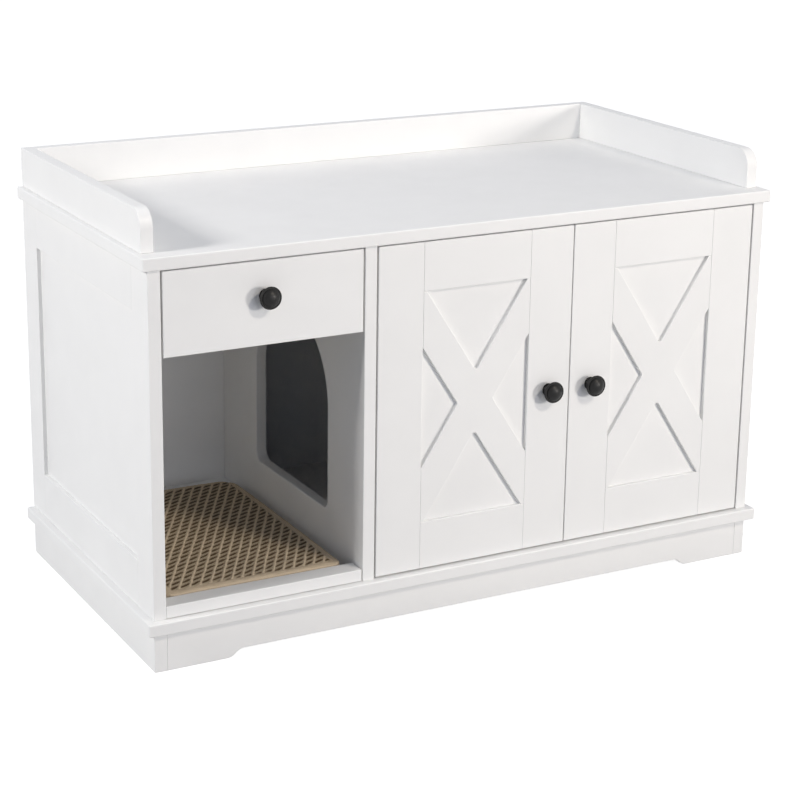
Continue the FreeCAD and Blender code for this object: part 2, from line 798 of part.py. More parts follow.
def slide_runner():
    """Runner on the drawer's side: a web, a flange that rides on the front roller, and a rear stud."""
    flange_x = channel_web_x + 2 * roller_side_gap
    web = box(runner_web_x, box_left_x, drawer_y0, drawer_y1, channel_z0, runner_flange_z1)
    flange = box(flange_x, runner_web_x, drawer_y0, runner_flange_y1, runner_flange_z0, runner_flange_z1)
    start = Vector(runner_web_x, runner_roller_y, runner_roller_z)
    stud = Part.makeCylinder(stud_radius, stud_length, start, leftward)
    head = Part.makeCylinder(stud_head_radius, stud_head, start - Vector(stud_length, 0, 0), leftward)
    return web.fuse([flange, stud, head])


def roller(x, y, z, radius):
    """Nylon wheel with a bore, from x to the right."""
    wheel = Part.makeCylinder(radius, roller_width, Vector(x, y, z), rightward)
    rims = [edge for edge in wheel.Edges if edge.BoundBox.XLength < roller_round]
    wheel = wheel.makeFillet(roller_round, rims)
    bore = Part.makeCylinder(stud_radius + running_gap, roller_width, Vector(x, y, z), rightward)
    return wheel.cut(bore)


def both_slides(shape):
    """A piece of the left slide and its mirror image on the right."""
    return [shape, mirrored(shape, bay_centre_x)]


def drawer_parts():
    knob_x = bay_centre_x
    front = eased_board(drawer_left_x, drawer_right_x, front_y, drawer_y0,
                        drawer_front_z0, drawer_front_z1)
    side = box(box_left_x, box_left_x + drawer_wall, drawer_y0 - drawer_housing, drawer_y1, box_z0, box_z1)
    sides = both_slides(side)
    x0 = box_left_x + drawer_wall
    x1 = box_right_x - drawer_wall
    y1 = drawer_y1 - drawer_wall
    tongue = drawer_bottom_tongue
    bottom = box(x0 - tongue, x1 + tongue, drawer_y0 - tongue, y1 + tongue, bottom_z0, bottom_z1)
    reach = drawer_groove_depth
    groove = box(x0 - reach, x1 + reach, drawer_y0 - reach, y1 + reach, bottom_z0, bottom_z1)
    back = box(x0, x1, y1, drawer_y1, box_z0, box_z1)
    front = front.cut(sides + [groove, knob_hole_at(knob_x, drawer_knob_z)])

    runner_points = [Vector(runner_web_x, y, slide_screw_z) for y in slide_screw_ys]
    runner_screws = all_placed(small_screw(drawer_screw_length), runner_points, leftward)
    runner_holes = all_placed(small_screw_hole(drawer_screw_length), runner_points, leftward)
    corner_points = [Vector(box_left_x, drawer_y1 - drawer_wall / 2, z)
                     for z in (box_z0 + corner_screw_inset, box_z1 - corner_screw_inset)]
    corner_screws = all_placed(small_screw(corner_screw_length), corner_points, leftward)
    corner_holes = all_placed(small_screw_hole(corner_screw_length), corner_points, leftward)
    holes = []
    screws = [knob_screw_at(knob_x, drawer_knob_z)]
    for hole in runner_holes + corner_holes:
        holes += both_slides(hole)
    for screw in runner_screws + corner_screws:
        screws += both_slides(screw)
    runners = [runner.cut(holes) for runner in both_slides(slide_runner())]
    return {
        "drawer_front": [front],
        "drawer_left_side": [bored(sides[0].cut(groove), holes)],
        "drawer_right_side": [bored(sides[1].cut(groove), holes)],
        "drawer_back": [bored(back.cut(groove), holes)],
        "drawer_bottom": [bottom],
        "drawer_knob": [knob_at(knob_x, drawer_knob_z)],
        "drawer_runners": runners,
        "drawer_screws": screws,
    }


def build():
    os.makedirs("parts", exist_ok=True)

    arms, pins, plates, hinge_screws, hinge_holes = hinge_hardware()
    right_holes = [mirrored(hole, doors_centre_x) for hole in hinge_holes]
    channel_points = [Vector(channel_web_x, y, slide_screw_z) for y in slide_screw_ys]
    channel_screws = []
    channel_holes = []
    for screw in all_placed(small_screw(small_screw_length), channel_points, rightward):
        channel_screws += both_slides(screw)
    for hole in all_placed(small_screw_hole(small_screw_length), channel_points, rightward):
        channel_holes += both_slides(hole)
    board_holes = case_holes + hinge_holes + right_holes + channel_holes

    base_board = eased(box(-width / 2, width / 2, base_front_y, back_y, plinth_height, floor_z), slab_round)
    save("base_board", bored(base_board, board_holes))
    top_x = body_x + top_side_overhang
    top_front_y = front_y - top_front_overhang
    top_panel = eased(box(-top_x, top_x, top_front_y, back_y, ceiling_z, top_z), slab_round)
    save("top_panel", bored(top_panel, board_holes))

    for name, shape in side_parts().items():
        save("left_" + name, bored(shape, board_holes))
        save("right_" + name, bored(mirrored(shape, 0), board_holes))

    save("partition", bored(partition_board(), board_holes))
    back_panel = box(-inner_x, inner_x, back_inner_y, back_y, floor_z, ceiling_z)
    save("back_panel", bored(back_panel, board_holes))

    save("threshold", bored(threshold_board(), board_holes))
    save("pad_board", pad_board())
    save("sisal_cover", pad_cover())

    side_skirt = eased_board(-body_x, -inner_x, front_y, back_y, 0, plinth_height)
    save("left_skirt", side_skirt)
    save("right_skirt", mirrored(side_skirt, 0))
    save("front_skirt", front_skirt_board())
    save("rear_skirt", eased_board(-inner_x, inner_x, back_y - board, back_y, 0, plinth_height))
    save("corner_blocks", [corner_block(x, y) for x in (-1, 1) for y in (-1, 1)])

    gallery_z1 = top_z + gallery_height
    rail = box(-body_x, -inner_x, gallery_front_y, back_y, top_z, gallery_z1)
    corner = [edge for edge in straight_edges(rail, rightward)
              if edge.BoundBox.YMax < gallery_front_y + tolerance
              and edge.BoundBox.ZMin > gallery_z1 - tolerance]
    rail = eased(rail.makeFillet(gallery_corner_radius, corner), board_round)
    save("gallery_left_rail", bored(rail, board_holes))
    save("gallery_right_rail", bored(mirrored(rail, 0), board_holes))
    back_rail = eased_board(-inner_x, inner_x, back_y - board, back_y, top_z, gallery_z1)
    save("gallery_back_rail", bored(back_rail, board_holes))

    save("case_screws", case_screws)
    save("case_dowels", case_dowels)
    save("hinge_arms", arms + [mirrored(arm, doors_centre_x) for arm in arms])
    save("hinge_pins", pins + [mirrored(pin, doors_centre_x) for pin in pins])
    save("hinge_plates", plates + [mirrored(plate, doors_centre_x) for plate in plates])
    save("slide_channels", [channel.cut(channel_holes) for channel in both_slides(slide_channel())])
    right_screws = [mirrored(screw, doors_centre_x) for screw in hinge_screws]
    save("hardware_screws", hinge_screws + right_screws + channel_screws)

    channel_roller = roller(channel_web_x + roller_side_gap, channel_roller_y, channel_roller_z,
                            channel_roller_radius)
    save("left_channel_roller", channel_roller)
    save("right_channel_roller", mirrored(channel_roller, bay_centre_x))
    runner_roller = roller(runner_web_x - roller_side_gap - roller_width, runner_roller_y, runner_roller_z,
                           runner_roller_radius)
    save("left_runner_roller", runner_roller)
    save("right_runner_roller", mirrored(runner_roller, bay_centre_x))

    for name, shapes in drawer_parts().items():
        save(name, shapes if len(shapes) > 1 else shapes[0])
    for name, shapes in door_parts().items():
        right_shapes = [mirrored(shape, doors_centre_x) for shape in shapes]
        save("left_door_" + name, shapes if len(shapes) > 1 else shapes[0])
        save("right_door_" + name, right_shapes if len(right_shapes) > 1 else right_shapes[0])


build()
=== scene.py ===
import json
import math

import bmesh
import bpy
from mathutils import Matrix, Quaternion, Vector, noise


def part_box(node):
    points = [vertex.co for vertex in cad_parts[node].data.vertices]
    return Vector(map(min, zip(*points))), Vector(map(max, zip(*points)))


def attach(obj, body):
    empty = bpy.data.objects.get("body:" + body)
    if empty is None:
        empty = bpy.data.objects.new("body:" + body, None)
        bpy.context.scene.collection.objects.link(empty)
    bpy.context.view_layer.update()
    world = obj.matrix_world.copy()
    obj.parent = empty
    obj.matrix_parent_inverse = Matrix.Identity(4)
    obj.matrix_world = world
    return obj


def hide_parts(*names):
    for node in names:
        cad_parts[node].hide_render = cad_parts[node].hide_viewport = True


# A white painted cabinet that hides a litter box. Sizes are in metres, in the frame of the solid model.
MM = 0.001
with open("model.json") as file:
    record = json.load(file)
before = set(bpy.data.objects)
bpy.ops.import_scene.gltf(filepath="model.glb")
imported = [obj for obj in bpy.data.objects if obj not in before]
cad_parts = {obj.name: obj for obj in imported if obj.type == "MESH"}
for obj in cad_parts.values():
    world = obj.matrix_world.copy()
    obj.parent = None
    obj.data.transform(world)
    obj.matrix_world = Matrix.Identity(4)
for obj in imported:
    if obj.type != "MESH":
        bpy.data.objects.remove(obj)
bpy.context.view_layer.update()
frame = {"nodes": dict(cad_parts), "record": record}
nodes = frame["nodes"]
scene = bpy.context.scene
scene.view_settings.view_transform = "Standard"


# Materials: small tools

def colour(code):
    """A six-digit sRGB code as the linear colour that the shader takes."""
    channels = [int(code[i:i + 2], 16) / 255 for i in (0, 2, 4)]
    linear = [c / 12.92 if c <= 0.04045 else ((c + 0.055) / 1.055) ** 2.4 for c in channels]
    return (*linear, 1.0)


def add(tree, kind, inputs, **settings):
    """A new node with its settings, whose inputs are values or other nodes' outputs."""
    node = tree.nodes.new(kind)
    for name, value in settings.items():
        setattr(node, name, value)
    for name, value in inputs.items():
        if isinstance(value, bpy.types.NodeSocket):
            tree.links.new(value, node.inputs[name])
        else:
            node.inputs[name].default_value = value
    return node


def new_material(name):
    """An empty material: (material, its nodes, the Object coordinates)."""
    material = bpy.data.materials.new(name)
    material.use_nodes = True
    tree = material.node_tree
    tree.nodes.clear()
    return material, tree, add(tree, "ShaderNodeTexCoord", {}).outputs["Object"]


# Materials of the cabinet. Noise stays mostly between 0.3 and 0.7, so the two ends that it is spread
# over lie further apart than what shows. A noise's scale is 1 over the size of its blotches.

def painted_board():
    """Satin paint sprayed on MDF: faint cloudiness, a fine orange peel, and gloss that varies a little."""
    material, tree, place = new_material("satin_white_paint")
    clouds = add(tree, "ShaderNodeTexNoise",
                 {"Vector": place, "Scale": 1 / (90 * MM), "Detail": 3.0}).outputs["Fac"]
    tone = add(tree, "ShaderNodeMix", {0: clouds, 6: colour("EAEAE9"), 7: colour("F0F0EF")},
               data_type="RGBA").outputs[2]
    patches = add(tree, "ShaderNodeTexNoise",
                  {"Vector": place, "Scale": 1 / (30 * MM), "Detail": 3.0}).outputs["Fac"]
    gloss = add(tree, "ShaderNodeMapRange",
                {"Value": patches, "To Min": 0.28, "To Max": 0.56}).outputs["Result"]
    peel = add(tree, "ShaderNodeTexNoise",
               {"Vector": place, "Scale": 1 / (2.2 * MM), "Detail": 1.0}).outputs["Fac"]
    relief = add(tree, "ShaderNodeBump",
                 {"Height": peel, "Distance": 0.06 * MM, "Strength": 0.35}).outputs["Normal"]
    shader = add(tree, "ShaderNodeBsdfPrincipled",
                 {"Base Color": tone, "Roughness": gloss, "Normal": relief, "IOR": 1.5})
    add(tree, "ShaderNodeOutputMaterial", {"Surface": shader.outputs["BSDF"]})
    return material


def melamine_board():
    """White melamine foil on the drawer's own boards: a shallow pebbled grain, glossier than the paint."""
    material, tree, place = new_material("white_melamine")
    clouds = add(tree, "ShaderNodeTexNoise", {"Vector": place, "Scale": 1 / (120 * MM)}).outputs["Fac"]
    tone = add(tree, "ShaderNodeMix", {0: clouds, 6: colour("E2E2DF"), 7: colour("EDEDEB")},
               data_type="RGBA").outputs[2]
    pebbles = add(tree, "ShaderNodeTexNoise",
                  {"Vector": place, "Scale": 1 / (1.1 * MM), "Detail": 1.0}).outputs["Fac"]
    gloss = add(tree, "ShaderNodeMapRange",
                {"Value": pebbles, "To Min": 0.2, "To Max": 0.5}).outputs["Result"]
    relief = add(tree, "ShaderNodeBump",
                 {"Height": pebbles, "Distance": 0.08 * MM, "Strength": 0.5}).outputs["Normal"]
    shader = add(tree, "ShaderNodeBsdfPrincipled",
                 {"Base Color": tone, "Roughness": gloss, "Normal": relief, "IOR": 1.5})
    add(tree, "ShaderNodeOutputMaterial", {"Surface": shader.outputs["BSDF"]})
    return material


def fibre_board():
    """Bare pressed wood fibre under the mat: brown with darker and lighter flecks, quite matt."""
    material, tree, place = new_material("bare_fibreboard")
    flecks = add(tree, "ShaderNodeTexNoise",
                 {"Vector": place, "Scale": 1 / (1.6 * MM), "Detail": 4.0, "Roughness": 0.7}).outputs["Fac"]
    tone = add(tree, "ShaderNodeMix", {0: flecks, 6: colour("7C6344"), 7: colour("C7AC87")},
               data_type="RGBA").outputs[2]
    relief = add(tree, "ShaderNodeBump",
                 {"Height": flecks, "Distance": 0.2 * MM, "Strength": 0.6}).outputs["Normal"]
    shader = add(tree, "ShaderNodeBsdfPrincipled",
                 {"Base Color": tone, "Roughness": 0.85, "Normal": relief})
    add(tree, "ShaderNodeOutputMaterial", {"Surface": shader.outputs["BSDF"]})
    return material


def beech():
    """Planed beech blocks and dowels: pale, with fine straight grain along the upright and short pores."""
    material, tree, place = new_material("planed_beech")
    along = add(tree, "ShaderNodeMapping", {"Vector": place, "Scale": (1.0, 1.0, 0.08)}).outputs["Vector"]
    grain = add(tree, "ShaderNodeTexNoise",
                {"Vector": along, "Scale": 1 / (2 * MM), "Detail": 3.0}).outputs["Fac"]
    tone = add(tree, "ShaderNodeMix", {0: grain, 6: colour("AC8156"), 7: colour("E3C298")},
               data_type="RGBA").outputs[2]
    gloss = add(tree, "ShaderNodeMapRange",
                {"Value": grain, "To Min": 0.6, "To Max": 0.4}).outputs["Result"]
    relief = add(tree, "ShaderNodeBump",
                 {"Height": grain, "Distance": 0.1 * MM, "Strength": 0.5}).outputs["Normal"]
    shader = add(tree, "ShaderNodeBsdfPrincipled",
                 {"Base Color": tone, "Roughness": gloss, "Normal": relief})
    add(tree, "ShaderNodeOutputMaterial", {"Surface": shader.outputs["BSDF"]})
    return material


def black_metal():
    """Black powder coat on the cast knobs: satin, with a fine orange peel that spreads the highlight."""
    material, tree, place = new_material("black_powder_coat")
    clouds = add(tree, "ShaderNodeTexNoise", {"Vector": place, "Scale": 1 / (12 * MM)}).outputs["Fac"]
    tone = add(tree, "ShaderNodeMix", {0: clouds, 6: colour("070707"), 7: colour("121212")},
               data_type="RGBA").outputs[2]
    peel = add(tree, "ShaderNodeTexNoise",
               {"Vector": place, "Scale": 1 / (0.9 * MM), "Detail": 1.0}).outputs["Fac"]
    gloss = add(tree, "ShaderNodeMapRange",
                {"Value": peel, "To Min": 0.28, "To Max": 0.5}).outputs["Result"]
    relief = add(tree, "ShaderNodeBump",
                 {"Height": peel, "Distance": 0.04 * MM, "Strength": 0.4}).outputs["Normal"]
    shader = add(tree, "ShaderNodeBsdfPrincipled",
                 {"Base Color": tone, "Roughness": gloss, "Normal": relief, "IOR": 1.5,
                  "Specular IOR Level": 0.25})
    add(tree, "ShaderNodeOutputMaterial", {"Surface": shader.outputs["BSDF"]})
    return material


def plated_steel(name, dark, light, low, high):
    """Plated steel: cloudy colour, fine rolling scratches along X and an uneven gloss."""
    material, tree, place = new_material(name)
    clouds = add(tree, "ShaderNodeTexNoise",
                 {"Vector": place, "Scale": 1 / (8 * MM), "Detail": 3.0}).outputs["Fac"]
    tone = add(tree, "ShaderNodeMix",
               {0: clouds, 6: colour(dark), 7: colour(light)}, data_type="RGBA").outputs[2]
    stretched = add(tree, "ShaderNodeMapping",
                    {"Vector": place, "Scale": (0.05, 1.0, 1.0)}).outputs["Vector"]
    scratches = add(tree, "ShaderNodeTexNoise",
                    {"Vector": stretched, "Scale": 1 / (0.5 * MM), "Detail": 2.0}).outputs["Fac"]
    gloss = add(tree, "ShaderNodeMapRange",
                {"Value": scratches, "To Min": low, "To Max": high}).outputs["Result"]
    relief = add(tree, "ShaderNodeBump",
                 {"Height": scratches, "Distance": 0.03 * MM, "Strength": 0.4}).outputs["Normal"]
    shader = add(tree, "ShaderNodeBsdfPrincipled",
                 {"Base Color": tone, "Roughness": gloss, "Normal": relief, "Metallic": 1.0})
    add(tree, "ShaderNodeOutputMaterial", {"Surface": shader.outputs["BSDF"]})
    return material


def coated_steel():
    """White powder coat on the drawer slides: a close pebble with a dull gloss."""
    material, tree, place = new_material("white_powder_coat")
    pebbles = add(tree, "ShaderNodeTexNoise",
                  {"Vector": place, "Scale": 1 / (0.7 * MM), "Detail": 1.0}).outputs["Fac"]
    tone = add(tree, "ShaderNodeMix", {0: pebbles, 6: colour("DCDCD8"), 7: colour("F1F1EF")},
               data_type="RGBA").outputs[2]
    patches = add(tree, "ShaderNodeTexNoise", {"Vector": place, "Scale": 1 / (10 * MM)}).outputs["Fac"]
    gloss = add(tree, "ShaderNodeMapRange",
                {"Value": patches, "To Min": 0.35, "To Max": 0.65}).outputs["Result"]
    relief = add(tree, "ShaderNodeBump",
                 {"Height": pebbles, "Distance": 0.08 * MM, "Strength": 0.6}).outputs["Normal"]
    shader = add(tree, "ShaderNodeBsdfPrincipled",
                 {"Base Color": tone, "Roughness": gloss, "Normal": relief, "IOR": 1.5})
    add(tree, "ShaderNodeOutputMaterial", {"Surface": shader.outputs["BSDF"]})
    return material


def nylon():
    """Moulded nylon rollers: milky, a little translucent, with a faint spark-eroded mould texture."""
    material, tree, place = new_material("milky_nylon")
    texture = add(tree, "ShaderNodeTexNoise",
                  {"Vector": place, "Scale": 1 / (0.8 * MM), "Detail": 2.0}).outputs["Fac"]
    tone = add(tree, "ShaderNodeMix", {0: texture, 6: colour("D9D8D0"), 7: colour("EFEEE9")},
               data_type="RGBA").outputs[2]
    gloss = add(tree, "ShaderNodeMapRange",
                {"Value": texture, "To Min": 0.28, "To Max": 0.56}).outputs["Result"]
    relief = add(tree, "ShaderNodeBump",
                 {"Height": texture, "Distance": 0.03 * MM, "Strength": 0.4}).outputs["Normal"]
    shader = add(tree, "ShaderNodeBsdfPrincipled",
                 {"Base Color": tone, "Roughness": gloss, "Normal": relief, "IOR": 1.53,
                  "Subsurface Weight": 0.2, "Subsurface Radius": (1.0 * MM, 1.0 * MM, 0.8 * MM)})
    add(tree, "ShaderNodeOutputMaterial", {"Surface": shader.outputs["BSDF"]})
    return material


# The mat's weave: light ribs run slantwise to the back, and between them dark strokes lie among
# light strands. The strands stray a little from their places, as hard fibre does.
RIB_ANGLE = math.radians(29.7)
RIB_PITCH = 13.6 * MM
RIB_SHARE = 0.25
STROKE_REPEAT = 16.1 * MM
COLUMN_SHIFT = 0.446
STROKE_SLANT = -0.8
DARK_SHARE = 0.54
RIB_WAVE = 0.15
RIB_ROUNDNESS = 0.5
STRAND_ROUNDNESS = 0.6
DARK_TAPER = 0.4
LIGHT_STRAND_HEIGHT = 0.8
DARK_STRAND_HEIGHT = 0.5
LIGHT_STRAND_TONE = 0.6
WEAVE_RELIEF = 2.0 * MM
STRAY_SIZE = 9 * MM
STRAY_REACH = 0.9 * MM
FIBRE_SIZE = 1.1 * MM
TWIST_PITCH = 2.6 * MM
TWIST_ANGLE = math.radians(50)
DIP_SHADE_REACH = 0.45
# A Wave Texture of scale 1 has its bands this far apart
WAVE_SPACING = math.pi / 10


def weave(x, y):
    """The mat at a point: (height from 0 to 1, how light its strand is)."""
    stray = noise.noise_vector(Vector((x, y, 0)) / STRAY_SIZE) * STRAY_REACH
    x, y = x + stray.x, y + stray.y
    across = x * math.cos(RIB_ANGLE) - y * math.sin(RIB_ANGLE)
    along = x * math.sin(RIB_ANGLE) + y * math.cos(RIB_ANGLE)
    column, share = divmod(across / RIB_PITCH, 1)
    beat = along / STROKE_REPEAT + COLUMN_SHIFT * column
    if share < RIB_SHARE:
        crown = math.sin(math.pi * share / RIB_SHARE) ** RIB_ROUNDNESS
        return crown * (1 - RIB_WAVE + RIB_WAVE * math.cos(2 * math.pi * beat)), 1.0
    reach = (share - RIB_SHARE) / (1 - RIB_SHARE)
    distance = abs((beat + STROKE_SLANT * reach) % 1 - 0.5)
    dark_half = DARK_SHARE / 2 * math.sin(math.pi * reach) ** DARK_TAPER
    if distance < dark_half:
        return DARK_STRAND_HEIGHT * math.cos(math.pi / 2 * distance / dark_half) ** STRAND_ROUNDNESS, 0.0
    turn = (distance - dark_half) / (0.5 - dark_half)
    return LIGHT_STRAND_HEIGHT * math.sin(math.pi * turn) ** STRAND_ROUNDNESS, LIGHT_STRAND_TONE


def sisal():
    """Woven sisal: beige and brown twisted strands with stiff fibres, with painted shade where the strands
    dip.
    """
    material, tree, place = new_material("woven_sisal")
    strand = add(tree, "ShaderNodeAttribute", {}, attribute_name="strand").outputs["Fac"]
    crown = add(tree, "ShaderNodeAttribute", {}, attribute_name="crown").outputs["Fac"]
    turned = add(tree, "ShaderNodeMapping", {"Vector": place, "Rotation": (0, 0, RIB_ANGLE),
                                             "Scale": (1.0, 0.35, 1.0)}).outputs["Vector"]
    fibres = add(tree, "ShaderNodeTexNoise",
                 {"Vector": turned, "Scale": 1 / FIBRE_SIZE, "Detail": 3.0,
                  "Roughness": 0.65}).outputs["Fac"]
    slanted = add(tree, "ShaderNodeMapping",
                  {"Vector": place, "Rotation": (0, 0, RIB_ANGLE - TWIST_ANGLE)}).outputs["Vector"]
    twist = add(tree, "ShaderNodeTexWave",
                {"Vector": slanted, "Scale": WAVE_SPACING / TWIST_PITCH, "Distortion": 2.0, "Detail": 1.0,
                 "Detail Scale": 1.5}).outputs["Fac"]
    dark = add(tree, "ShaderNodeMix", {0: fibres, 6: colour("35281B"), 7: colour("786348")},
               data_type="RGBA").outputs[2]
    light = add(tree, "ShaderNodeMix", {0: fibres, 6: colour("B89F7B"), 7: colour("F8E9D1")},
                data_type="RGBA").outputs[2]
    strands = add(tree, "ShaderNodeMix", {0: strand, 6: dark, 7: light}, data_type="RGBA").outputs[2]
    # Painted shade and highlight: the twist's grooves multiply the strands' colour down to 0.78 and its
    # ridges up to 1.08
    groove = add(tree, "ShaderNodeMapRange",
                 {"Value": twist, "To Min": 0.78, "To Max": 1.08}).outputs["Result"]
    twisted = add(tree, "ShaderNodeMix", {0: 1.0, 6: strands, 7: groove},
                  data_type="RGBA", blend_type="MULTIPLY").outputs[2]
    # Painted shade: where the height share is low, in the weave's dips and on the rope's grooves and
    # flanks, the colour is drawn towards dark brown 33261A
    rise = add(tree, "ShaderNodeMapRange", {"Value": crown, "From Max": DIP_SHADE_REACH}).outputs["Result"]
    tone = add(tree, "ShaderNodeMix",
               {0: rise, 6: colour("33261A"), 7: twisted}, data_type="RGBA").outputs[2]
    ridges = add(tree, "ShaderNodeBump",
                 {"Height": twist, "Distance": 0.5 * MM, "Strength": 0.6}).outputs["Normal"]
    hairs = add(tree, "ShaderNodeBump",
                {"Height": fibres, "Distance": 0.4 * MM, "Strength": 0.8,
                 "Normal": ridges}).outputs["Normal"]
    shader = add(tree, "ShaderNodeBsdfPrincipled",
                 {"Base Color": tone, "Roughness": 0.9, "Normal": hairs, "Specular IOR Level": 0.2})
    add(tree, "ShaderNodeOutputMaterial", {"Surface": shader.outputs["BSDF"]})
    return material


materials = {
    "painted_board": painted_board(),
    "drawer_board": melamine_board(),
    "raw_board": fibre_board(),
    "beech": beech(),
    "sisal": sisal(),
    "black_metal": black_metal(),
    "nickel_steel": plated_steel("nickel_plate", "9C9992", "D1CEC8", 0.13, 0.43),
    "zinc_steel": plated_steel("zinc_plate", "94979B", "C4C7CB", 0.19, 0.56),
    "powder_coated_steel": coated_steel(),
    "white_nylon": nylon(),
}
for part in frame["record"]["subparts"]:
    for slot in nodes[part["node"]].material_slots:
        slot.material = materials[part["material_slot"]]


# The mat: a woven cover over its board, with a sewn rope edge all round
mat_low, mat_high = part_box("sisal_cover")
MAT_FRONT_RADIUS = 13 * MM
MAT_BACK_RADIUS = 32 * MM
MAT_EDGE_ROUND = 3 * MM
MAT_LIFT = 0.3 * MM
MAT_STEP = 1.25 * MM
ROUND_STEPS = 4
SIDE_STEPS = 9
CORNER_DROOP = 1.6 * MM
DROOP_POWER = 3
ROPE_WIDTH = 8 * MM
ROPE_TURN = 6 * MM
ROPE_RELIEF = 1.2 * MM
ROPE_WANDER = 1.2 * MM
ROPE_WANDER_SIZE = 12 * MM
ROPE_GROOVE_DEPTH = 0.35
ROPE_LEAST_CROWN = 0.3
SIDE_GROOVE_DEPTH = 0.4 * MM
SIDE_GROOVE_SHADE = 0.5
ROPE_LIGHTNESS = 0.85
WEAVE_BLEND = 1.5 * MM


def side_point(share, first, second, radius_1, radius_2, inward):
    """A point on one side of the mat's outline, from the middle of one corner's arc to the next one's."""
    direction = (second - first).normalized()
    arc_1, arc_2 = math.pi / 4 * radius_1, math.pi / 4 * radius_2
    straight = (second - first).length - radius_1 - radius_2
    distance = share * (arc_1 + straight + arc_2)
    if distance < arc_1:
        turn = (arc_1 - distance) / radius_1
        centre = first + (direction + inward) * radius_1
        return centre - direction * radius_1 * math.sin(turn) - inward * radius_1 * math.cos(turn)
    if distance > arc_1 + straight:
        turn = (distance - arc_1 - straight) / radius_2
        centre = second + (inward - direction) * radius_2
        return centre + direction * radius_2 * math.sin(turn) - inward * radius_2 * math.cos(turn)
    return first + direction * (radius_1 + distance - arc_1)


def mat_point(s, t, inset):
    """The point of the mat's plan at shares s across and t back, with the outline drawn in by inset."""
    left, right = mat_low.x + inset, mat_high.x - inset
    front, back = mat_low.y + inset, mat_high.y - inset
    front_radius, back_radius = MAT_FRONT_RADIUS - inset, MAT_BACK_RADIUS - inset
    front_left, front_right = Vector((left, front)), Vector((right, front))
    back_left, back_right = Vector((left, back)), Vector((right, back))

    def front_side(share):
        return side_point(share, front_left, front_right, front_radius, front_radius, Vector((0, 1)))

    def back_side(share):
        return side_point(share, back_left, back_right, back_radius, back_radius, Vector((0, -1)))

    left_side = side_point(t, front_left, back_left, front_radius, back_radius, Vector((1, 0)))
    right_side = side_point(t, front_right, back_right, front_radius, back_radius, Vector((-1, 0)))
    across = front_side(s) * (1 - t) + back_side(s) * t
    along = left_side * (1 - s) + right_side * s
    front_ends = front_side(0) * (1 - s) + front_side(1) * s
    back_ends = back_side(0) * (1 - s) + back_side(1) * s
    return across + along - front_ends * (1 - t) - back_ends * t


def rope_height(turn, across):
    """The rope edge's height from 0 to 1: a round section, grooved at each turn of the yarn."""
    groove = 0.5 + 0.5 * math.cos(2 * math.pi * turn)
    section = math.sqrt(max(1 - across * across, 0))
    return section * (1 - ROPE_GROOVE_DEPTH * groove)


def mat_surface(spot):
    """The mat's top at a point of its plan: (height above its weave's foot, height share that sets the
    painted shade in the dips, lightness).
    """
    to_sides = min(spot.x - mat_low.x, mat_high.x - spot.x)
    to_ends = min(spot.y - mat_low.y, mat_high.y - spot.y)
    inside = min(to_sides, to_ends) - MAT_EDGE_ROUND
    wander = noise.noise(Vector((spot.x, spot.y, 0)) / ROPE_WANDER_SIZE) * ROPE_WANDER
    height, light = weave(spot.x, spot.y)
    woven = min(max((inside + wander - ROPE_WIDTH) / WEAVE_BLEND, 0), 1)
    rope = rope_height((spot.x - spot.y + inside) / ROPE_TURN, (inside + wander) / ROPE_WIDTH * 2 - 1)
    rise = woven * height * WEAVE_RELIEF + (1 - woven) * rope * ROPE_RELIEF
    # The rope's height share sets its painted shade; ROPE_LEAST_CROWN keeps that painted shade from going
    # fully dark
    rope_crown = ROPE_LEAST_CROWN + (1 - ROPE_LEAST_CROWN) * rope
    return rise, woven * height + (1 - woven) * rope_crown, woven * light + (1 - woven) * ROPE_LIGHTNESS


